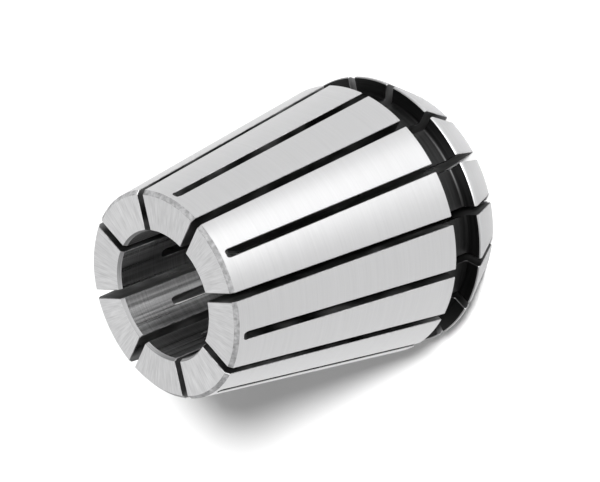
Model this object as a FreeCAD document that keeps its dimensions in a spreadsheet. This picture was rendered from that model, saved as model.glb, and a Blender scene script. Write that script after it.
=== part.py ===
import FreeCAD, Part
import math
import os

import Sketcher

# Spring collet for a tapered collet chuck, turned from one bar and slit by a saw.
# It stands on its large flat front face: origin at the centre of that face, +Z up
# the axis to the small rear face. A tool shank goes into the bore from the front.
# Eight slots run in from the rear face and eight from the front face, in turn, so
# that the sleeve squeezes evenly along its whole length.

# Driving sizes in millimetres and degrees, each with what it sets.
SIZES = [
    ("overall_length", 40.0, "front face to rear face"),
    ("cone_end_dia", 33.0, "large end of the long rear cone, at the groove"),
    ("cone_half_angle", 8.0, "rear cone, half angle"),
    ("rear_chamfer", 0.45, "45 degree chamfer round the rear face"),
    ("head_dia", 32.9, "head at its land"),
    ("head_length", 5.35, "front face to the groove"),
    ("land_length", 0.4, "short cylinder at the back edge of the head"),
    ("nose_half_angle", 30.0, "cone that the clamping nut bears on, half angle"),
    ("groove_width", 4.0, "groove for the extraction ring"),
    ("groove_dia", 28.9, "groove floor"),
    ("groove_corner_radius", 0.3, "corners of the groove floor"),
    ("edge_break", 0.1, "small 45 degree bevel on the turned outer edges"),
    ("bore_dia", 15.0, "gripping bore"),
    ("bore_lead_width", 0.25, "lead-in at both mouths of the bore, radially"),
    ("bore_lead_depth", 0.45, "lead-in at both mouths of the bore, along the axis"),
    ("slot_count", 8, "slots from each end"),
    ("slot_width", 1.0, "saw kerf"),
    ("saw_dia", 50.0, "slitting saw, which leaves the arc at a slot's end"),
    ("saw_bevel", 0.2, "45 degree bevels on the two corners of the saw's rim"),
    ("saw_distance", 28.54, "sleeve's axis to the saw's centre, for every slot"),
    ("rear_slot_exit_dia", 25.8, "where a rear slot's end meets the front face"),
    ("front_slot_stop", 1.05, "rear face to where a front slot's end meets the cone"),
    ("saw_overrun", 1.0, "how far a saw path runs clear of the sleeve"),
]

SHEET = "Dims"
START, END = 1, 2
ORIGIN = (-1, 1)
X_AXIS_LINE = -1
NODE = "collet"

# Innermost point of the saw's rim, and the height between the saw's centre and the
# point of its rim at a given distance from the sleeve's axis.
INNERMOST = SHEET + ".saw_distance - " + SHEET + ".saw_dia / 2"
RISE = "sqrt(({0}.saw_dia / 2)^2 - ({0}.saw_distance - {1})^2)"


def make_sheet(doc):
    """Spreadsheet of the driving sizes, and the same sizes by name."""
    sheet = doc.addObject("Spreadsheet::Sheet", SHEET)
    for row, (alias, value, note) in enumerate(SIZES, start=1):
        sheet.set("A%d" % row, alias)
        sheet.set("B%d" % row, str(value))
        sheet.set("C%d" % row, note)
        sheet.setAlias("B%d" % row, alias)
    doc.recompute()
    return {alias: float(sheet.get(alias)) for alias, _, _ in SIZES}


def origin_feature(body, role):
    return next(f for f in body.Origin.OriginFeatures if f.Role == role)


def new_sketch(body, name, plane="XZ_Plane"):
    """Sketch in a plane of the body's origin. In XZ, across is the radius and up is Z."""
    sketch = body.newObject("Sketcher::SketchObject", name)
    sketch.AttachmentSupport = [(origin_feature(body, plane), "")]
    sketch.MapMode = "FlatFace"
    return sketch


def vector(point):
    return FreeCAD.Vector(point[0], point[1], 0)


def add_line(sketch, start, end):
    return sketch.addGeometry(Part.LineSegment(vector(start), vector(end)), False)


def add_arc(sketch, centre, radius, start, end):
    """Arc that runs counter-clockwise from the point start to the point end."""
    circle = Part.Circle(vector(centre), FreeCAD.Vector(0, 0, 1), radius)
    angles = [math.atan2(p[1] - centre[1], p[0] - centre[0]) for p in (start, end)]
    if angles[1] < angles[0]:
        angles[1] += 2 * math.pi
    return sketch.addGeometry(Part.ArcOfCircle(circle, angles[0], angles[1]), False)


def tie(sketch, kind, *where):
    sketch.addConstraint(Sketcher.Constraint(kind, *where))


def drive(sketch, name, kind, where, value, formula):
    """Dimension with a name of its own that follows the spreadsheet."""
    index = sketch.addConstraint(Sketcher.Constraint(kind, *where, value))
    sketch.renameConstraint(index, name)
    sketch.setExpression("Constraints." + name, formula)


def drive_bevel(sketch, name, line, size, width, depth):
    """Radial width and axial depth of a short sloping line, from two named sizes."""
    edge = sketch.Geometry[line]
    ends = ((START, edge.StartPoint), (END, edge.EndPoint))
    inner, outer = sorted(ends, key=lambda end: end[1].x)
    lower, upper = sorted(ends, key=lambda end: end[1].y)
    drive(sketch, name + "_width", "DistanceX", (line, inner[0], line, outer[0]),
          size[width], SHEET + "." + width)
    drive(sketch, name + "_depth", "DistanceY", (line, lower[0], line, upper[0]),
          size[depth], SHEET + "." + depth)


def join(sketch, *corners):
    """Each corner is two line or arc ends that meet."""
    for first, second in corners:
        tie(sketch, "Coincident", *first, *second)


def turned_profile(body, size):
    """Half section of the turned sleeve, which the Z axis sweeps into the blank."""
    sketch = new_sketch(body, "turned_profile")
    length = size["overall_length"]
    bore = size["bore_dia"] / 2
    lead_w, lead_d = size["bore_lead_width"], size["bore_lead_depth"]
    head = size["head_dia"] / 2
    head_z = size["head_length"]
    floor = size["groove_dia"] / 2
    groove_z = head_z + size["groove_width"]
    corner = size["groove_corner_radius"]
    edge = size["edge_break"]
    cone_end = size["cone_end_dia"] / 2
    cone_slope = math.tan(math.radians(size["cone_half_angle"]))
    nose_slope = math.tan(math.radians(size["nose_half_angle"]))
    rear = size["rear_chamfer"]

    land_z = head_z - size["land_length"]
    nose = head - (land_z - edge) * nose_slope
    cone_tip = cone_end - (length - rear - groove_z - edge) * cone_slope

    front_face = add_line(sketch, (bore + lead_w, 0), (nose - edge, 0))
    nose_edge = add_line(sketch, (nose - edge, 0), (nose, edge))
    nose_cone = add_line(sketch, (nose, edge), (head, land_z))
    land = add_line(sketch, (head, land_z), (head, head_z - edge))
    head_edge = add_line(sketch, (head, head_z - edge), (head - edge, head_z))
    head_wall = add_line(sketch, (head - edge, head_z), (floor + corner, head_z))
    head_corner = add_arc(sketch, (floor + corner, head_z + corner), corner,
                          (floor, head_z + corner), (floor + corner, head_z))
    groove_floor = add_line(sketch, (floor, head_z + corner), (floor, groove_z - corner))
    cone_corner = add_arc(sketch, (floor + corner, groove_z - corner), corner,
                          (floor + corner, groove_z), (floor, groove_z - corner))
    cone_wall = add_line(sketch, (floor + corner, groove_z), (cone_end - edge, groove_z))
    cone_edge = add_line(sketch, (cone_end - edge, groove_z), (cone_end, groove_z + edge))
    cone = add_line(sketch, (cone_end, groove_z + edge), (cone_tip, length - rear))
    rear_edge = add_line(sketch, (cone_tip, length - rear), (cone_tip - rear, length))
    rear_face = add_line(sketch, (cone_tip - rear, length), (bore + lead_w, length))
    rear_lead = add_line(sketch, (bore + lead_w, length), (bore, length - lead_d))
    bore_wall = add_line(sketch, (bore, length - lead_d), (bore, lead_d))
    front_lead = add_line(sketch, (bore, lead_d), (bore + lead_w, 0))

    join(sketch,
         ((front_face, END), (nose_edge, START)), ((nose_edge, END), (nose_cone, START)),
         ((nose_cone, END), (land, START)), ((land, END), (head_edge, START)),
         ((head_edge, END), (head_wall, START)), ((cone_wall, END), (cone_edge, START)),
         ((cone_edge, END), (cone, START)), ((cone, END), (rear_edge, START)),
         ((rear_edge, END), (rear_face, START)), ((rear_face, END), (rear_lead, START)),
         ((rear_lead, END), (bore_wall, START)), ((bore_wall, END), (front_lead, START)),
         ((front_lead, END), (front_face, START)))
    tie(sketch, "Tangent", head_wall, END, head_corner, END)
    tie(sketch, "Tangent", head_corner, START, groove_floor, START)
    tie(sketch, "Tangent", groove_floor, END, cone_corner, END)
    tie(sketch, "Tangent", cone_corner, START, cone_wall, START)
    for line in (front_face, head_wall, cone_wall, rear_face):
        tie(sketch, "Horizontal", line)
    for line in (land, groove_floor, bore_wall):
        tie(sketch, "Vertical", line)
    tie(sketch, "PointOnObject", front_face, START, X_AXIS_LINE)

    drive(sketch, "length", "DistanceY", (*ORIGIN, rear_face, START), length,
          SHEET + ".overall_length")
    drive(sketch, "bore_radius", "DistanceX", (*ORIGIN, bore_wall, START), bore,
          SHEET + ".bore_dia / 2")
    drive_bevel(sketch, "front_lead", front_lead, size, "bore_lead_width", "bore_lead_depth")
    drive_bevel(sketch, "rear_lead", rear_lead, size, "bore_lead_width", "bore_lead_depth")
    drive(sketch, "head_radius", "DistanceX", (*ORIGIN, land, START), head,
          SHEET + ".head_dia / 2")
    drive(sketch, "head_back", "DistanceY", (*ORIGIN, head_wall, START), head_z,
          SHEET + ".head_length")
    drive(sketch, "land_span", "DistanceY", (land, START, head_wall, START),
          size["land_length"], SHEET + ".land_length")
    drive(sketch, "nose_angle", "Angle", (nose_cone,),
          math.radians(90 - size["nose_half_angle"]),
          "90 deg - " + SHEET + ".nose_half_angle * 1 deg")
    drive(sketch, "floor_radius", "DistanceX", (*ORIGIN, groove_floor, START), floor,
          SHEET + ".groove_dia / 2")
    drive(sketch, "groove_span", "DistanceY", (head_wall, START, cone_wall, START),
          size["groove_width"], SHEET + ".groove_width")
    for name, arc in (("head_corner_radius", head_corner), ("cone_corner_radius", cone_corner)):
        drive(sketch, name, "Radius", (arc,), corner, SHEET + ".groove_corner_radius")
    drive(sketch, "cone_radius", "DistanceX", (*ORIGIN, cone, START), cone_end,
          SHEET + ".cone_end_dia / 2")
    drive(sketch, "cone_angle", "Angle", (cone,),
          math.radians(90 + size["cone_half_angle"]),
          "90 deg + " + SHEET + ".cone_half_angle * 1 deg")
    drive_bevel(sketch, "rear_edge", rear_edge, size, "rear_chamfer", "rear_chamfer")
    for name, line in (("nose_edge", nose_edge), ("head_edge", head_edge),
                       ("cone_edge", cone_edge)):
        drive_bevel(sketch, name, line, size, "edge_break", "edge_break")
    return sketch


def feed_path(body, name, size, open_end, stop):
    """Outline of the straight part of a saw cut, in the plane through the axis.

    The saw is fed along the axis, so the innermost point of its rim draws the inner
    side, clear inside the bore. The outline runs from the open end, beyond the face
    that the saw enters, to the level where the saw's centre stops.
    """
    sketch = new_sketch(body, name)
    inner = size["saw_distance"] - size["saw_dia"] / 2
    outer = size["cone_end_dia"] / 2 + size["saw_overrun"]
    open_z, open_formula = open_end
    stop_z, stop_formula = stop
    mouth = add_line(sketch, (inner, open_z), (outer, open_z))
    outer_line = add_line(sketch, (outer, open_z), (outer, stop_z))
    stop_line = add_line(sketch, (outer, stop_z), (inner, stop_z))
    inner_line = add_line(sketch, (inner, stop_z), (inner, open_z))
    join(sketch, ((mouth, END), (outer_line, START)), ((outer_line, END), (stop_line, START)),
         ((stop_line, END), (inner_line, START)), ((inner_line, END), (mouth, START)))
    for line in (mouth, stop_line):
        tie(sketch, "Horizontal", line)
    for line in (outer_line, inner_line):
        tie(sketch, "Vertical", line)

    drive(sketch, "inner_side", "DistanceX", (*ORIGIN, mouth, START), inner, INNERMOST)
    drive(sketch, "outer_side", "DistanceX", (*ORIGIN, mouth, END), outer,
          SHEET + ".cone_end_dia / 2 + " + SHEET + ".saw_overrun")
    drive(sketch, "stop_level", "DistanceY", (*ORIGIN, stop_line, START), stop_z, stop_formula)
    ends = (mouth, START, *ORIGIN) if open_z < 0 else (*ORIGIN, mouth, START)
    drive(sketch, "open_level", "DistanceY", ends, abs(open_z), open_formula)
    return sketch


def saw_section(body, name, size, stop):
    """Half section of the saw where its centre stops: a disc with a bevelled rim.

    The sketch lies across the sleeve's axis, and the saw's own axis is its far side.
    """
    sketch = new_sketch(body, name, "XY_Plane")
    centre = size["saw_distance"]
    rim = centre - size["saw_dia"] / 2
    half = size["slot_width"] / 2
    bevel = size["saw_bevel"]
    rim_line = add_line(sketch, (rim, half - bevel), (rim, bevel - half))
    low_bevel = add_line(sketch, (rim, bevel - half), (rim + bevel, -half))
    low_side = add_line(sketch, (rim + bevel, -half), (centre, -half))
    axis_side = add_line(sketch, (centre, -half), (centre, half))
    high_side = add_line(sketch, (centre, half), (rim + bevel, half))
    high_bevel = add_line(sketch, (rim + bevel, half), (rim, half - bevel))
    saw_axis = sketch.addGeometry(Part.LineSegment(vector((centre, -half)),
                                                   vector((centre, half))), True)
    join(sketch,
         ((rim_line, END), (low_bevel, START)), ((low_bevel, END), (low_side, START)),
         ((low_side, END), (axis_side, START)), ((axis_side, END), (high_side, START)),
         ((high_side, END), (high_bevel, START)), ((high_bevel, END), (rim_line, START)),
         ((saw_axis, START), (axis_side, START)), ((saw_axis, END), (axis_side, END)))
    tie(sketch, "Horizontal", low_side)
    tie(sketch, "Horizontal", high_side)
    tie(sketch, "Vertical", rim_line)
    tie(sketch, "Symmetric", axis_side, START, axis_side, END, X_AXIS_LINE)

    drive(sketch, "saw_centre", "DistanceX", (*ORIGIN, axis_side, START), centre,
          SHEET + ".saw_distance")
    drive(sketch, "saw_rim", "DistanceX", (*ORIGIN, rim_line, START), rim, INNERMOST)
    drive(sketch, "saw_width", "DistanceY", (axis_side, START, axis_side, END),
          size["slot_width"], SHEET + ".slot_width")
    drive_bevel(sketch, "low_bevel", low_bevel, size, "saw_bevel", "saw_bevel")
    drive_bevel(sketch, "high_bevel", high_bevel, size, "saw_bevel", "saw_bevel")
    sketch.AttachmentOffset = FreeCAD.Placement(FreeCAD.Vector(0, 0, stop[0]),
                                                FreeCAD.Rotation())
    sketch.setExpression(".AttachmentOffset.Base.z", stop[1])
    return sketch


def cut_slots(doc, body, name, size, open_end, stop, turned):
    """One saw cut through the wall, then its copies evenly round the axis.

    The cut is the straight feed and, at its end, the saw itself. The slots that are
    turned lie midway between the others.
    """
    before = body.Shape.Volume
    path = feed_path(body, name + "_feed_path", size, open_end, stop)
    section = saw_section(body, name + "_saw_section", size, stop)
    if turned:
        for sketch, axis in ((path, (0, 1, 0)), (section, (0, 0, 1))):
            place = sketch.AttachmentOffset
            place.Rotation = FreeCAD.Rotation(FreeCAD.Vector(*axis), 180 / size["slot_count"])
            sketch.AttachmentOffset = place
            sketch.setExpression(".AttachmentOffset.Rotation.Angle",
                                 "180 deg / " + SHEET + ".slot_count")

    feed = body.newObject("PartDesign::Pocket", name + "_feed")
    feed.Profile = path
    feed.Type = "Length"
    feed.SideType = "Symmetric"
    feed.Length = 1
    feed.setExpression("Length", SHEET + ".slot_width")
    body.Tip = feed
    doc.recompute()
    end = body.newObject("PartDesign::Groove", name + "_end")
    end.Profile = section
    end.ReferenceAxis = (section, ["Axis0"])
    end.Angle = 360
    body.Tip = end
    doc.recompute()
    one = before - body.Shape.Volume
    if one <= 0:
        raise RuntimeError(name + " removes nothing")

    pattern = body.newObject("PartDesign::PolarPattern", name + "_round")
    pattern.Originals = [feed, end]
    pattern.Axis = (origin_feature(body, "Z_Axis"), [""])
    pattern.Angle = 360
    pattern.setExpression("Occurrences", SHEET + ".slot_count")
    body.Tip = pattern
    doc.recompute()
    removed = before - body.Shape.Volume
    if abs(removed - one * pattern.Occurrences) > 0.01 * removed:
        raise RuntimeError(name + " is not repeated evenly")
    print(name, "one cut removes", round(one, 2), "mm3, all of them", round(removed, 2))


def rise(size, radius):
    """Height between the saw's centre and the point of its rim at a radius."""
    return math.sqrt((size["saw_dia"] / 2) ** 2 - (size["saw_distance"] - radius) ** 2)


def make_collet(doc, size):
    body = doc.addObject("PartDesign::Body", NODE)
    body.Label = NODE

    blank = body.newObject("PartDesign::Revolution", "turned_blank")
    blank.Profile = turned_profile(body, size)
    blank.ReferenceAxis = (origin_feature(body, "Z_Axis"), [""])
    blank.Angle = 360
    body.Tip = blank
    doc.recompute()

    length = size["overall_length"]
    overrun = size["saw_overrun"]
    stop = size["front_slot_stop"]
    cone_span = length - size["head_length"] - size["groove_width"] - size["edge_break"]
    stop_radius = (size["cone_end_dia"] / 2
                   - (cone_span - stop) * math.tan(math.radians(size["cone_half_angle"])))
    stop_formula = ("({0}.cone_end_dia / 2 - ({0}.overall_length - {0}.head_length"
                    " - {0}.groove_width - {0}.edge_break - {0}.front_slot_stop)"
                    " * tan({0}.cone_half_angle * 1 deg))").format(SHEET)

    # The saw's centre stops where its rim passes through the point that ends the slot.
    rear_rise = rise(size, size["rear_slot_exit_dia"] / 2)
    rear_formula = RISE.format(SHEET, SHEET + ".rear_slot_exit_dia / 2")
    front_level = length - stop - rise(size, stop_radius)
    front_formula = ("{0}.overall_length - {0}.front_slot_stop - ".format(SHEET)
                     + RISE.format(SHEET, stop_formula))

    cut_slots(doc, body, "rear_slot", size,
              (length + overrun, SHEET + ".overall_length + " + SHEET + ".saw_overrun"),
              (rear_rise, rear_formula), False)
    cut_slots(doc, body, "front_slot", size, (-overrun, SHEET + ".saw_overrun"),
              (front_level, front_formula), True)
    return body


def check(doc, body):
    for item in doc.Objects:
        if "Invalid" in item.State or "Error" in item.State:
            raise RuntimeError(item.Name + " failed: " + ", ".join(item.State))
        if item.TypeId == "Sketcher::SketchObject" and not item.FullyConstrained:
            raise RuntimeError(item.Name + " is not fully constrained")
    shape = body.Shape
    if shape.isNull() or not shape.isValid() or len(shape.Solids) != 1:
        raise RuntimeError(body.Label + " is not one valid solid")


doc = FreeCAD.newDocument("spring_collet")
sizes = make_sheet(doc)
collet = make_collet(doc, sizes)
doc.recompute()
check(doc, collet)

os.makedirs("parts", exist_ok=True)
collet.Shape.exportStep(os.path.join("parts", collet.Label + ".step"))
box = collet.Shape.optimalBoundingBox()
print(collet.Label, "volume", round(collet.Shape.Volume, 1), "mm3, faces",
      len(collet.Shape.Faces), ", box", round(box.XLength, 3), round(box.YLength, 3),
      round(box.ZLength, 3), "lowest", round(box.ZMin, 4))
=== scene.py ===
import math

import bmesh
import bpy
from mathutils import Matrix, Vector


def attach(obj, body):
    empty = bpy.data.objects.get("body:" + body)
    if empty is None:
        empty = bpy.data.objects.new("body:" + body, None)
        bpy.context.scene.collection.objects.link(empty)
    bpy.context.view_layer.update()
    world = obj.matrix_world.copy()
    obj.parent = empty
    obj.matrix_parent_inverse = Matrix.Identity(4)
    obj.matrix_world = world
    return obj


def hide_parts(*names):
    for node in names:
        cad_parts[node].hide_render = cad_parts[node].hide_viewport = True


# A slotted spring collet of ground steel. It stands on its large flat front face, with
# the small rear face up. Lengths below are in millimetres; the meshes are in metres.
MM = 0.001

LENGTH = 40.0
CONE_END_R = 16.5
CONE_SLOPE = math.tan(math.radians(8.0))
REAR_CHAMFER = 0.45
HEAD_R = 16.45
HEAD_LENGTH = 5.35
LAND = 0.4
NOSE_SLOPE = math.tan(math.radians(30.0))
GROOVE_WIDTH = 4.0
GROOVE_R = 14.45
GROOVE_CORNER = 0.3
EDGE_BREAK = 0.1
BORE_R = 7.5
LEAD_WIDTH = 0.25
LEAD_DEPTH = 0.45
SLOTS = 8
SLOT_WIDTH = 1.0
SAW_R = 25.0
SAW_CORNER = 0.3
SAW_EDGE = 0.07
EDGE_TAPER = 0.3
SAW_DISTANCE = 28.54
REAR_SLOT_EXIT_R = 12.9
FRONT_SLOT_STOP = 1.05

# How finely the surfaces are divided.
PANEL_STEPS = 20
CORNER_STEPS = 5
ARC_STEPS = 28
CONE_STEPS = 4

# Points that fall into one cell of this grid, in cells per mm, are one point.
GRID = 2e4
TOLERANCE = 1e-6
# The end of a front slot on the cone is found in so many rounds.
TIP_ROUNDS = 30
# Turn, in degrees, from which an edge of the mesh is shaded as sharp.
SHARP_TURN = 22

STEP = math.pi / SLOTS
REAR, FRONT = 0, 1


def groove_top():
    return HEAD_LENGTH + GROOVE_WIDTH


def cone_radius(z):
    return CONE_END_R - (z - groove_top() - EDGE_BREAK) * CONE_SLOPE


def rise(radius, rim=SAW_R):
    """Height between the saw's centre and the point of its rim at a radius."""
    return math.sqrt(rim ** 2 - (SAW_DISTANCE - radius) ** 2)


# Level where the saw's centre stops.
SAW_LEVEL = {
    REAR: rise(REAR_SLOT_EXIT_R),
    FRONT: LENGTH - FRONT_SLOT_STOP - rise(cone_radius(LENGTH - FRONT_SLOT_STOP)),
}


def leaves(slot, rim):
    """Where a circle round the saw's centre leaves the bore wall and the outside."""
    level = SAW_LEVEL[slot]
    if slot == REAR:
        outside = SAW_DISTANCE - math.sqrt(rim ** 2 - level ** 2)
        return (BORE_R, level - rise(BORE_R, rim)), (outside, 0.0)
    z = LENGTH - FRONT_SLOT_STOP
    for _ in range(TIP_ROUNDS):
        z = level + rise(cone_radius(z), rim)
    return (BORE_R, level + rise(BORE_R, rim)), (cone_radius(z), z)


# A slot's end at the bore and at the outside: in its middle, and at its walls, where
# the rounded corners of the saw's rim let go earlier.
TIPS = {slot: leaves(slot, SAW_R) for slot in (REAR, FRONT)}
WALL_TIPS = {slot: leaves(slot, SAW_R - SAW_CORNER) for slot in (REAR, FRONT)}


def profile():
    """Turned half section as (radius, height, zone of the stretch that starts there).

    It runs from the bore's front mouth out over the head, up the cone to the rear face
    and back down the bore. The points where the slots end are part of it.
    """
    nose_r = HEAD_R - (HEAD_LENGTH - LAND - EDGE_BREAK) * NOSE_SLOPE
    tip_z = LENGTH - REAR_CHAMFER
    tip_r = cone_radius(tip_z)
    points = [
        (BORE_R + LEAD_WIDTH, 0.0, "face"),
        (*TIPS[REAR][1], "face"),
        (*WALL_TIPS[REAR][1], "face"),
        (nose_r - EDGE_BREAK, 0.0, "edge"),
        (nose_r, EDGE_BREAK, "nose"),
        (HEAD_R, HEAD_LENGTH - LAND, "edge"),
        (HEAD_R, HEAD_LENGTH - EDGE_BREAK, "edge"),
        (HEAD_R - EDGE_BREAK, HEAD_LENGTH, "groove"),
    ]
    points += [(*p, "groove") for p in corner(GROOVE_R + GROOVE_CORNER,
                                             HEAD_LENGTH + GROOVE_CORNER, 270, 180)]
    points += [(*p, "groove") for p in corner(GROOVE_R + GROOVE_CORNER,
                                             groove_top() - GROOVE_CORNER, 180, 90)]
    points.append((CONE_END_R - EDGE_BREAK, groove_top(), "edge"))
    start = groove_top() + EDGE_BREAK
    points.append((CONE_END_R, start, "cone"))
    below = WALL_TIPS[FRONT][1][1] - EDGE_TAPER
    for n in range(1, CONE_STEPS + 1):
        z = start + (below - start) * n / CONE_STEPS
        points.append((cone_radius(z), z, "cone"))
    points += [
        (*WALL_TIPS[FRONT][1], "cone"),
        (*TIPS[FRONT][1], "cone"),
        (tip_r, tip_z, "chamfer"),
        (tip_r - REAR_CHAMFER, LENGTH, "face"),
        (BORE_R + LEAD_WIDTH, LENGTH, "lead"),
        (BORE_R, LENGTH - LEAD_DEPTH, "bore"),
        (*TIPS[FRONT][0], "bore"),
        (*WALL_TIPS[FRONT][0], "bore"),
        (BORE_R, WALL_TIPS[FRONT][0][1] - EDGE_TAPER, "bore"),
        (BORE_R, WALL_TIPS[REAR][0][1] + EDGE_TAPER, "bore"),
        (*WALL_TIPS[REAR][0], "bore"),
        (*TIPS[REAR][0], "bore"),
        (BORE_R, LEAD_DEPTH, "lead"),
    ]
    return points


def corner(r, z, start, end):
    """Points round a small concave corner, from one angle to another in degrees."""
    found = []
    for i in range(CORNER_STEPS + 1):
        a = math.radians(start + (end - start) * i / CORNER_STEPS)
        found.append((r + GROOVE_CORNER * math.cos(a), z + GROOVE_CORNER * math.sin(a)))
    return found


def is_open(slot, r, z):
    """Whether the saw has cut through at this point of the slot's middle plane."""
    if slot == REAR:
        return z >= SAW_LEVEL[slot] - rise(r) - TOLERANCE
    return z <= SAW_LEVEL[slot] + rise(r) + TOLERANCE


ZONES = ("cone", "nose", "face", "chamfer", "lead", "edge", "groove", "bore", "saw", "end",
         "burr")


class Skin:
    """Mesh in the making, with one vertex for each place."""

    def __init__(self):
        self.mesh = bmesh.new()
        self.at = {}

    def vertex(self, point):
        key = tuple(round(c * GRID) for c in point)
        if key not in self.at:
            self.at[key] = self.mesh.verts.new([c * MM for c in point])
        return self.at[key]

    def face(self, points, zone, towards):
        """Face through the points, turned so that it looks towards a direction."""
        found = []
        for point in points:
            vertex = self.vertex(point)
            if vertex not in found:
                found.append(vertex)
        if len(found) < 3:
            return
        made = self.mesh.faces.new(found)
        made.material_index = ZONES.index(zone)
        made.smooth = zone != "saw"
        made.normal_update()
        if made.normal.dot(Vector(towards)) < 0:
            made.normal_flip()


def turned(r, z, angle):
    return (r * math.cos(angle), r * math.sin(angle), z)


def beside(r, z, middle, side, offset):
    """Point a distance off the middle plane of the slot at an angle."""
    angle = middle + side * math.asin(offset / r)
    return turned(r, z, angle)


def outward(a, b, middle):
    """Outward direction of the stretch of the section from a to b, at an angle."""
    across, up = b[0] - a[0], b[1] - a[1]
    return (up * math.cos(middle), up * math.sin(middle), -across)


def inset(points, index):
    """Profile point moved into the metal by the width of the saw's edge."""
    count = len(points)
    here = points[index]
    normals = []
    for a, b in ((points[index - 1], here), (here, points[(index + 1) % count])):
        across, up = b[0] - a[0], b[1] - a[1]
        size = math.hypot(across, up)
        normals.append((up / size, -across / size))
    mean = (normals[0][0] + normals[1][0], normals[0][1] + normals[1][1])
    scale = SAW_EDGE * 2 / max(1.0, mean[0] ** 2 + mean[1] ** 2)
    return (here[0] - mean[0] * scale, here[1] - mean[1] * scale)


def panels(skin, points):
    """Turned surfaces of the sixteen segments, up to the rounded edges of the slots."""
    half = SLOT_WIDTH / 2 + SAW_EDGE
    for k in range(2 * SLOTS):
        low, high = k * STEP, (k + 1) * STEP
        for i, here in enumerate(points):
            after = points[(i + 1) % len(points)]
            rows = []
            for r, z, _ in (here, after):
                a = low + math.asin(half / r)
                b = high - math.asin(half / r)
                rows.append([turned(r, z, a + (b - a) * t / PANEL_STEPS)
                             for t in range(PANEL_STEPS + 1)])
            towards = outward(here, after, (low + high) / 2)
            for t in range(PANEL_STEPS):
                skin.face((rows[0][t], rows[0][t + 1], rows[1][t + 1], rows[1][t]),
                          here[2], towards)


def across_rim():
    """Offsets across the saw's rim with its radius there: flat, with rounded corners."""
    side = []
    for t in range(CORNER_STEPS + 1):
        a = math.radians(90 * t / CORNER_STEPS)
        side.append((SLOT_WIDTH / 2 - SAW_CORNER + SAW_CORNER * math.sin(a),
                     SAW_R - SAW_CORNER + SAW_CORNER * math.cos(a)))
    return [(-offset, rim) for offset, rim in side[::-1]] + side


def slot_mouths(skin, points):
    """Across each slot: eased saw edges where it is open, plain skin where it isn't."""
    full, half = SLOT_WIDTH / 2 + SAW_EDGE, SLOT_WIDTH / 2
    flat = half - SAW_CORNER
    for k in range(2 * SLOTS):
        middle, slot = k * STEP, k % 2
        for i, here in enumerate(points):
            j = (i + 1) % len(points)
            after = points[j]
            towards = outward(here, after, middle)
            centre = ((here[0] + after[0]) / 2, (here[1] + after[1]) / 2)
            if ends_here(slot, here, after):
                rounded_tip(skin, slot, here, after, middle, towards)
            elif is_open(slot, *centre):
                for side in (-1, 1):
                    skin.face((beside(*here[:2], middle, side, full),
                               beside(*after[:2], middle, side, full),
                               beside(*wall_point(points, j, slot), middle, side, half),
                               beside(*wall_point(points, i, slot), middle, side, half)),
                              "groove" if here[2] == "groove" else "burr", towards)
            else:
                for a, b in ((-full, -flat), (-flat, flat), (flat, full)):
                    skin.face((beside(*here[:2], middle, 1, a),
                               beside(*here[:2], middle, 1, b),
                               beside(*after[:2], middle, 1, b),
                               beside(*after[:2], middle, 1, a)), here[2], towards)


def wall_point(points, index, slot):
    """Edge of a slot's wall. The easing runs out to nothing at the slot's ends."""
    here = points[index][:2]
    return here if here in WALL_TIPS[slot] else inset(points, index)


def ends_here(slot, here, after):
    pair = {here[:2], after[:2]}
    return any(pair == {tip, wall} for tip, wall in zip(TIPS[slot], WALL_TIPS[slot]))


def rounded_tip(skin, slot, here, after, middle, towards):
    """Skin in the two corners of a slot's end, outside the curve that the saw leaves."""
    tip, wall = (here, after) if here[:2] in TIPS[slot] else (after, here)
    which = TIPS[slot].index(tip[:2])
    full = SLOT_WIDTH / 2 + SAW_EDGE
    curve = [(offset, leaves(slot, rim)[which]) for offset, rim in across_rim() if offset > 0]
    for side in (-1, 1):
        corner_points = [beside(*tip[:2], middle, side, full),
                         beside(*wall[:2], middle, side, full)]
        corner_points += [beside(*place, middle, side, offset)
                          for offset, place in reversed(curve)]
        skin.face(corner_points, tip[2], towards)


def saw_arc(slot, rim):
    """Points of the saw's path at one radius, from the bore out to the skin."""
    centre, ends = (SAW_DISTANCE, SAW_LEVEL[slot]), leaves(slot, rim)
    start, end = (math.atan2(p[1] - centre[1], p[0] - centre[0]) for p in ends)
    turn = (end - start + math.pi) % (2 * math.pi) - math.pi
    angles = [start + turn * t / ARC_STEPS for t in range(ARC_STEPS + 1)]
    found = [(centre[0] + rim * math.cos(a), centre[1] + rim * math.sin(a)) for a in angles]
    found[0], found[-1] = ends
    return found


def open_run(slot, points):
    """Profile points along the open part of a slot, between the tips of its walls."""
    places = [p[:2] for p in points]
    bore, outside = (places.index(end) for end in WALL_TIPS[slot])
    first, last = (outside, bore) if slot == REAR else (bore, outside)
    count = (last - first) % len(points)
    return [(first + n) % len(points) for n in range(1, count)]


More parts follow.
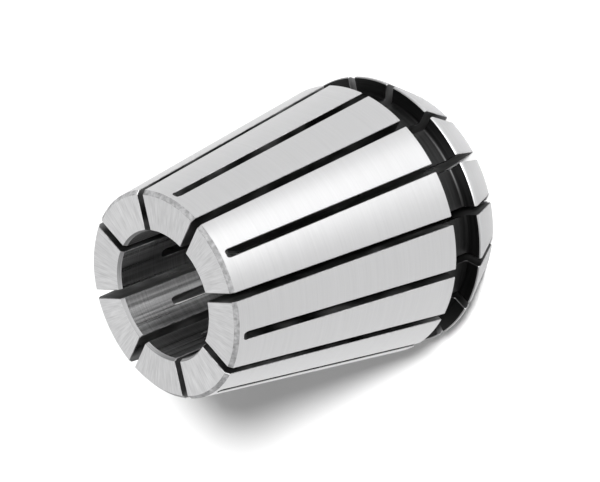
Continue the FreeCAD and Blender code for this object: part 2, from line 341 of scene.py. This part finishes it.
def slot_walls(skin, points):
    """Two flat walls and the curved end with rounded corners that the saw leaves."""
    half = SLOT_WIDTH / 2
    rims = across_rim()
    for k in range(2 * SLOTS):
        middle, slot = k * STEP, k % 2
        arcs = [saw_arc(slot, rim) for _, rim in rims]
        edge = [inset(points, i) for i in open_run(slot, points)]
        outline = edge + (arcs[0] if slot == REAR else arcs[0][::-1])
        for side in (-1, 1):
            towards = (side * math.sin(middle), -side * math.cos(middle), 0)
            skin.face([beside(*p, middle, side, half) for p in outline], "saw", towards)
        for n in range(len(rims) - 1):
            (left, _), (right, _) = rims[n], rims[n + 1]
            for t in range(ARC_STEPS):
                mid = (arcs[n][t][0] - SAW_DISTANCE, arcs[n][t][1] - SAW_LEVEL[slot])
                towards = (-mid[0] * math.cos(middle), -mid[0] * math.sin(middle), -mid[1])
                skin.face((beside(*arcs[n][t], middle, 1, left),
                           beside(*arcs[n + 1][t], middle, 1, right),
                           beside(*arcs[n + 1][t + 1], middle, 1, right),
                           beside(*arcs[n][t + 1], middle, 1, left)), "end", towards)


def build_collet():
    points = profile()
    skin = Skin()
    panels(skin, points)
    slot_mouths(skin, points)
    slot_walls(skin, points)
    mesh = bpy.data.meshes.new("collet_steel")
    skin.mesh.to_mesh(mesh)
    skin.mesh.free()
    mesh.set_sharp_from_angle(angle=math.radians(SHARP_TURN))
    piece = bpy.data.objects.new("collet_steel", mesh)
    bpy.context.scene.collection.objects.link(piece)
    for zone in ZONES:
        mesh.materials.append(steel(zone))
    return piece


# Finish of each zone: colour, roughness, how much both vary, how far the fine lines
# stretch the highlights, the depth of the lines, and the way they run: round the axis,
# away from it, along a saw cut, scattered, or round with streaks along the axis.
# The dark colours of the groove and the sawn walls, and the nose's slightly darker
# one, are painted shade.
FINISH_AND_SHADE = {
    "cone": dict(colour=0.54, rough=0.35, vary=0.04, stretch=0.72, lines=0.05, run="round"),
    # Darker than the cone's colour: painted shade, for the shadow that the head mirrors.
    "nose": dict(colour=0.42, rough=0.42, vary=0.06, stretch=0.50, lines=0.12, run="round"),
    "face": dict(colour=0.57, rough=0.37, vary=0.20, stretch=0.55, lines=0.30, run="away"),
    "chamfer": dict(colour=0.43, rough=0.92, vary=0.40, stretch=0.0, lines=0.35, run="spots"),
    "lead": dict(colour=0.38, rough=0.80, vary=0.18, stretch=0.0, lines=0.25, run="round"),
    "edge": dict(colour=0.50, rough=0.55, vary=0.10, stretch=0.30, lines=0.10, run="round"),
    # Near black: painted shade in the recess between the head and the cone.
    "groove": dict(colour=0.035, rough=0.46, vary=0.30, stretch=0.50, lines=0.25, run="round"),
    "bore": dict(colour=0.50, rough=0.32, vary=0.40, stretch=0.75, lines=0.50, run="streaked"),
    # The sawn walls' dark colour is painted shade inside the narrow slots.
    "saw": dict(colour=0.16, rough=0.42, vary=0.70, stretch=0.0, lines=0.60, run="along"),
    "end": dict(colour=0.45, rough=0.36, vary=0.75, stretch=0.0, lines=0.50, run="along"),
    "burr": dict(colour=0.42, rough=0.50, vary=0.35, stretch=0.0, lines=0.20, run="spots"),
}
# How much of its gloss a sawn wall keeps where it is seen almost edge on. Kept low,
# it dims the slot walls' glancing reflections as painted shade.
SLOT_WALL_SHADE_TINT = 0.3
# Blue of the steel against its red and green.
STEEL_BLUE = 1.008
# Depth of the lines at full strength, and how much the fine and the broad pattern each
# count in the colour.
LINE_DEPTH = 0.02
FINE_SHARE, BROAD_SHARE = 0.55, 0.45

# Cells of noise per radian, per metre of radius and per metre of height: first of the
# fine lines, then of the broader variation.
PATTERNS = {
    "round": ((1.6, 7000.0, 7000.0), (2.0, 3500.0, 3500.0)),
    "away": ((75.0, 350.0, 350.0), (19.0, 500.0, 500.0)),
    "along": ((110.0, 160.0, 160.0), (40.0, 250.0, 250.0)),
    "streaked": ((1.6, 0.0, 5000.0), (26.0, 0.0, 40.0)),
}
# The same for a finish without lines, in cells per metre each way.
SPOTS = (2400.0, 960.0)
# How much of the streaks is mixed into the fine lines of a streaked finish.
STREAK_SHARE = 0.35
NOISE_DETAIL = 2.0
# Noise lies mostly between these values.
NOISE_LOW, NOISE_HIGH = 0.3, 0.7


class Nodes:
    """Short ways to add and connect the nodes of one material."""

    def __init__(self, owner):
        self.owner = owner
        owner.use_nodes = True
        self.tree = owner.node_tree
        self.tree.nodes.clear()

    def add(self, kind, **values):
        node = self.tree.nodes.new(kind)
        for name, value in values.items():
            setattr(node, name, value)
        return node

    def connect(self, source, target):
        self.tree.links.new(source, target)

    def math(self, operation, first, second=None):
        node = self.add("ShaderNodeMath", operation=operation)
        for socket, value in zip(node.inputs, (first, second)):
            if isinstance(value, (int, float)):
                socket.default_value = value
            elif value is not None:
                self.connect(value, socket)
        return node.outputs[0]

    def noise(self, vector, scale):
        node = self.add("ShaderNodeTexNoise")
        node.inputs["Scale"].default_value = scale
        node.inputs["Detail"].default_value = NOISE_DETAIL
        self.connect(vector, node.inputs["Vector"])
        return node.outputs["Fac"]

    def vector(self, x, y, z):
        node = self.add("ShaderNodeCombineXYZ")
        for socket, value in zip(node.inputs, (x, y, z)):
            self.connect(value, socket)
        return node.outputs[0]

    def ramp(self, value, low, high):
        node = self.add("ShaderNodeMapRange")
        node.inputs["To Min"].default_value = low
        node.inputs["To Max"].default_value = high
        node.inputs["From Min"].default_value = NOISE_LOW
        node.inputs["From Max"].default_value = NOISE_HIGH
        self.connect(value, node.inputs["Value"])
        return node.outputs[0]


def line_pattern(nodes, run, place):
    """Fine lines and broader variation of a finish, each between 0 and 1."""
    if run == "spots":
        fine, broad = SPOTS
        return nodes.noise(place, fine), nodes.noise(place, broad)
    split = nodes.add("ShaderNodeSeparateXYZ")
    nodes.connect(place, split.inputs[0])
    x, y, z = split.outputs
    radius = nodes.math("SQRT", nodes.math("ADD", nodes.math("MULTIPLY", x, x),
                                           nodes.math("MULTIPLY", y, y)))
    angle = nodes.math("ARCTAN2", y, x)

    def pattern(around, out, up):
        return nodes.noise(nodes.vector(nodes.math("MULTIPLY", angle, around),
                                        nodes.math("MULTIPLY", radius, out),
                                        nodes.math("MULTIPLY", z, up)), 1.0)

    fine, broad = (pattern(*cells) for cells in PATTERNS[run])
    if run == "streaked":
        fine = nodes.math("ADD", nodes.math("MULTIPLY", fine, 1 - STREAK_SHARE),
                          nodes.math("MULTIPLY", broad, STREAK_SHARE))
    return fine, broad


def steel(zone):
    """Steel with the lines that the lathe, the grinder or the saw leaves on the zone. The
    colours of the groove, the sawn walls and the nose hold painted shade.
    """
    finish = FINISH_AND_SHADE[zone]
    nodes = Nodes(bpy.data.materials.new("steel_" + zone))
    place = nodes.add("ShaderNodeTexCoord").outputs["Object"]
    fine, broad = line_pattern(nodes, finish["run"], place)
    both = nodes.math("ADD", nodes.math("MULTIPLY", fine, FINE_SHARE),
                      nodes.math("MULTIPLY", broad, BROAD_SHARE))

    shader = nodes.add("ShaderNodeBsdfPrincipled")
    shader.inputs["Metallic"].default_value = 1.0
    # A dark specular tint on the sawn walls: painted shade in the slots.
    if zone == "saw":
        shader.inputs["Specular Tint"].default_value = (SLOT_WALL_SHADE_TINT, SLOT_WALL_SHADE_TINT, SLOT_WALL_SHADE_TINT, 1)
    if finish["stretch"]:
        shader.inputs["Anisotropic"].default_value = finish["stretch"]
        shader.inputs["Anisotropic Rotation"].default_value = (
            0.0 if finish["run"] == "away" else 0.25)
        tangent = nodes.add("ShaderNodeTangent", direction_type="RADIAL", axis="Z")
        nodes.connect(tangent.outputs[0], shader.inputs["Tangent"])
    grey, rough, vary = finish["colour"], finish["rough"], finish["vary"]
    tint = nodes.add("ShaderNodeMix", data_type="RGBA")
    for socket, share in (("A", 1 - vary), ("B", 1 + vary)):
        tone = min(1.0, grey * share)
        tint.inputs[socket].default_value = (tone, tone, min(1.0, tone * STEEL_BLUE), 1)
    nodes.connect(nodes.ramp(both, 0.0, 1.0), tint.inputs["Factor"])
    nodes.connect(tint.outputs["Result"], shader.inputs["Base Color"])
    nodes.connect(nodes.ramp(broad, rough * (1 - vary / 2), rough * (1 + vary / 2)),
                  shader.inputs["Roughness"])
    bump = nodes.add("ShaderNodeBump")
    bump.inputs["Strength"].default_value = finish["lines"]
    bump.inputs["Distance"].default_value = LINE_DEPTH * MM
    nodes.connect(fine, bump.inputs["Height"])
    nodes.connect(bump.outputs[0], shader.inputs["Normal"])
    out = nodes.add("ShaderNodeOutputMaterial")
    nodes.connect(shader.outputs[0], out.inputs["Surface"])
    return nodes.owner


# The view of the photograph: where the camera stands, the point it looks at, how far
# it is turned about its own line of sight, its lens and sensor width in mm, and how
# near and far it sees, in metres.
CAMERA_AT = (69.0005, -264.7604, 243.5670)
CAMERA_AIM = (0.2791, -0.7192, 19.0687)
CAMERA_ROLL = -111.494
CAMERA_LENS = 182.053
CAMERA_SENSOR = 36.0
CAMERA_NEAR, CAMERA_FAR = 0.01, 20.0


def make_camera():
    data = bpy.data.cameras.new("camera")
    data.sensor_width = CAMERA_SENSOR
    data.lens = CAMERA_LENS
    data.clip_start, data.clip_end = CAMERA_NEAR, CAMERA_FAR
    camera = bpy.data.objects.new("camera", data)
    bpy.context.scene.collection.objects.link(camera)
    at, aim = Vector(CAMERA_AT) * MM, Vector(CAMERA_AIM) * MM
    look = (aim - at).to_track_quat("-Z", "Y")
    turn = Matrix.Rotation(math.radians(CAMERA_ROLL), 3, "Z").to_quaternion()
    camera.location = at
    camera.rotation_mode = "QUATERNION"
    camera.rotation_quaternion = look @ turn
    bpy.context.scene.camera = camera


# Half the floor's width, in metres, and how pale it is.
FLOOR_HALF = 3.0
FLOOR_GREY = 0.9


def make_floor():
    mesh = bpy.data.meshes.new("floor")
    corners = [(x * FLOOR_HALF, y * FLOOR_HALF, 0)
               for x, y in ((-1, -1), (1, -1), (1, 1), (-1, 1))]
    mesh.from_pydata(corners, [], [(0, 1, 2, 3)])
    floor = bpy.data.objects.new("floor", mesh)
    bpy.context.scene.collection.objects.link(floor)
    material = bpy.data.materials.new("floor_paper")
    nodes = Nodes(material)
    shader = nodes.add("ShaderNodeBsdfDiffuse")
    shader.inputs["Color"].default_value = (FLOOR_GREY, FLOOR_GREY, FLOOR_GREY, 1)
    out = nodes.add("ShaderNodeOutputMaterial")
    nodes.connect(shader.outputs[0], out.inputs["Surface"])
    mesh.materials.append(material)


# Soft lamps: the side they shine from (angle from +X), their height above the floor,
# how wide they look, all in degrees, and their strength.
LAMPS = (
    ("key", -63.8, 39.6, 8.0, 5.0),
    ("side", -43.0, 14.0, 22.0, 1.1),
)
# Strength of the sky away from its bright side and in it, and the cosines of the angle
# to that side between which it rises.
SKY_LOW, SKY_HIGH = 0.12, 1.15
SKY_RISE = (0.72, 0.97)
SKY_BRIGHT_SIDE = (-0.195, 0.747, 0.635)


def make_light():
    for name, side, height, width, strength in LAMPS:
        data = bpy.data.lights.new(name, "SUN")
        data.energy = strength
        data.angle = math.radians(width)
        lamp = bpy.data.objects.new(name, data)
        bpy.context.scene.collection.objects.link(lamp)
        a, e = math.radians(side), math.radians(height)
        towards = Vector((math.cos(a) * math.cos(e), math.sin(a) * math.cos(e), math.sin(e)))
        lamp.rotation_mode = "QUATERNION"
        lamp.rotation_quaternion = towards.to_track_quat("Z", "Y")
    make_sky()


def make_sky():
    """Soft sky, brightest on one side as if a large diffuser hung there."""
    world = bpy.data.worlds.new("studio")
    nodes = Nodes(world)
    direction = nodes.add("ShaderNodeTexCoord").outputs["Generated"]
    towards = nodes.add("ShaderNodeVectorMath", operation="DOT_PRODUCT")
    towards.inputs[1].default_value = Vector(SKY_BRIGHT_SIDE).normalized()
    nodes.connect(direction, towards.inputs[0])
    strength = nodes.add("ShaderNodeMapRange", interpolation_type="SMOOTHSTEP")
    strength.inputs["From Min"].default_value = SKY_RISE[0]
    strength.inputs["From Max"].default_value = SKY_RISE[1]
    strength.inputs["To Min"].default_value = SKY_LOW
    strength.inputs["To Max"].default_value = SKY_HIGH
    nodes.connect(towards.outputs["Value"], strength.inputs["Value"])
    background = nodes.add("ShaderNodeBackground")
    nodes.connect(strength.outputs[0], background.inputs["Strength"])
    background.inputs["Color"].default_value = (1, 1, 1, 1)
    out = nodes.add("ShaderNodeOutputWorld")
    nodes.connect(background.outputs[0], out.inputs["Surface"])
    bpy.context.scene.world = world


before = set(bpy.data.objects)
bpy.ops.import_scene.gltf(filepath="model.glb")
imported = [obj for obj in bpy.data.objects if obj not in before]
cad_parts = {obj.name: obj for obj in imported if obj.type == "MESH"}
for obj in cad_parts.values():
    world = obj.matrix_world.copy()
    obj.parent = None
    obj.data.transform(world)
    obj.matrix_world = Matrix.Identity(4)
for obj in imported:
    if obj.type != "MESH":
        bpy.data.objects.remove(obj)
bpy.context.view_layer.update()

collet = build_collet()
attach(collet, "root")
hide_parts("collet")
make_floor()
make_light()
make_camera()
bpy.context.scene.view_settings.view_transform = "Standard"
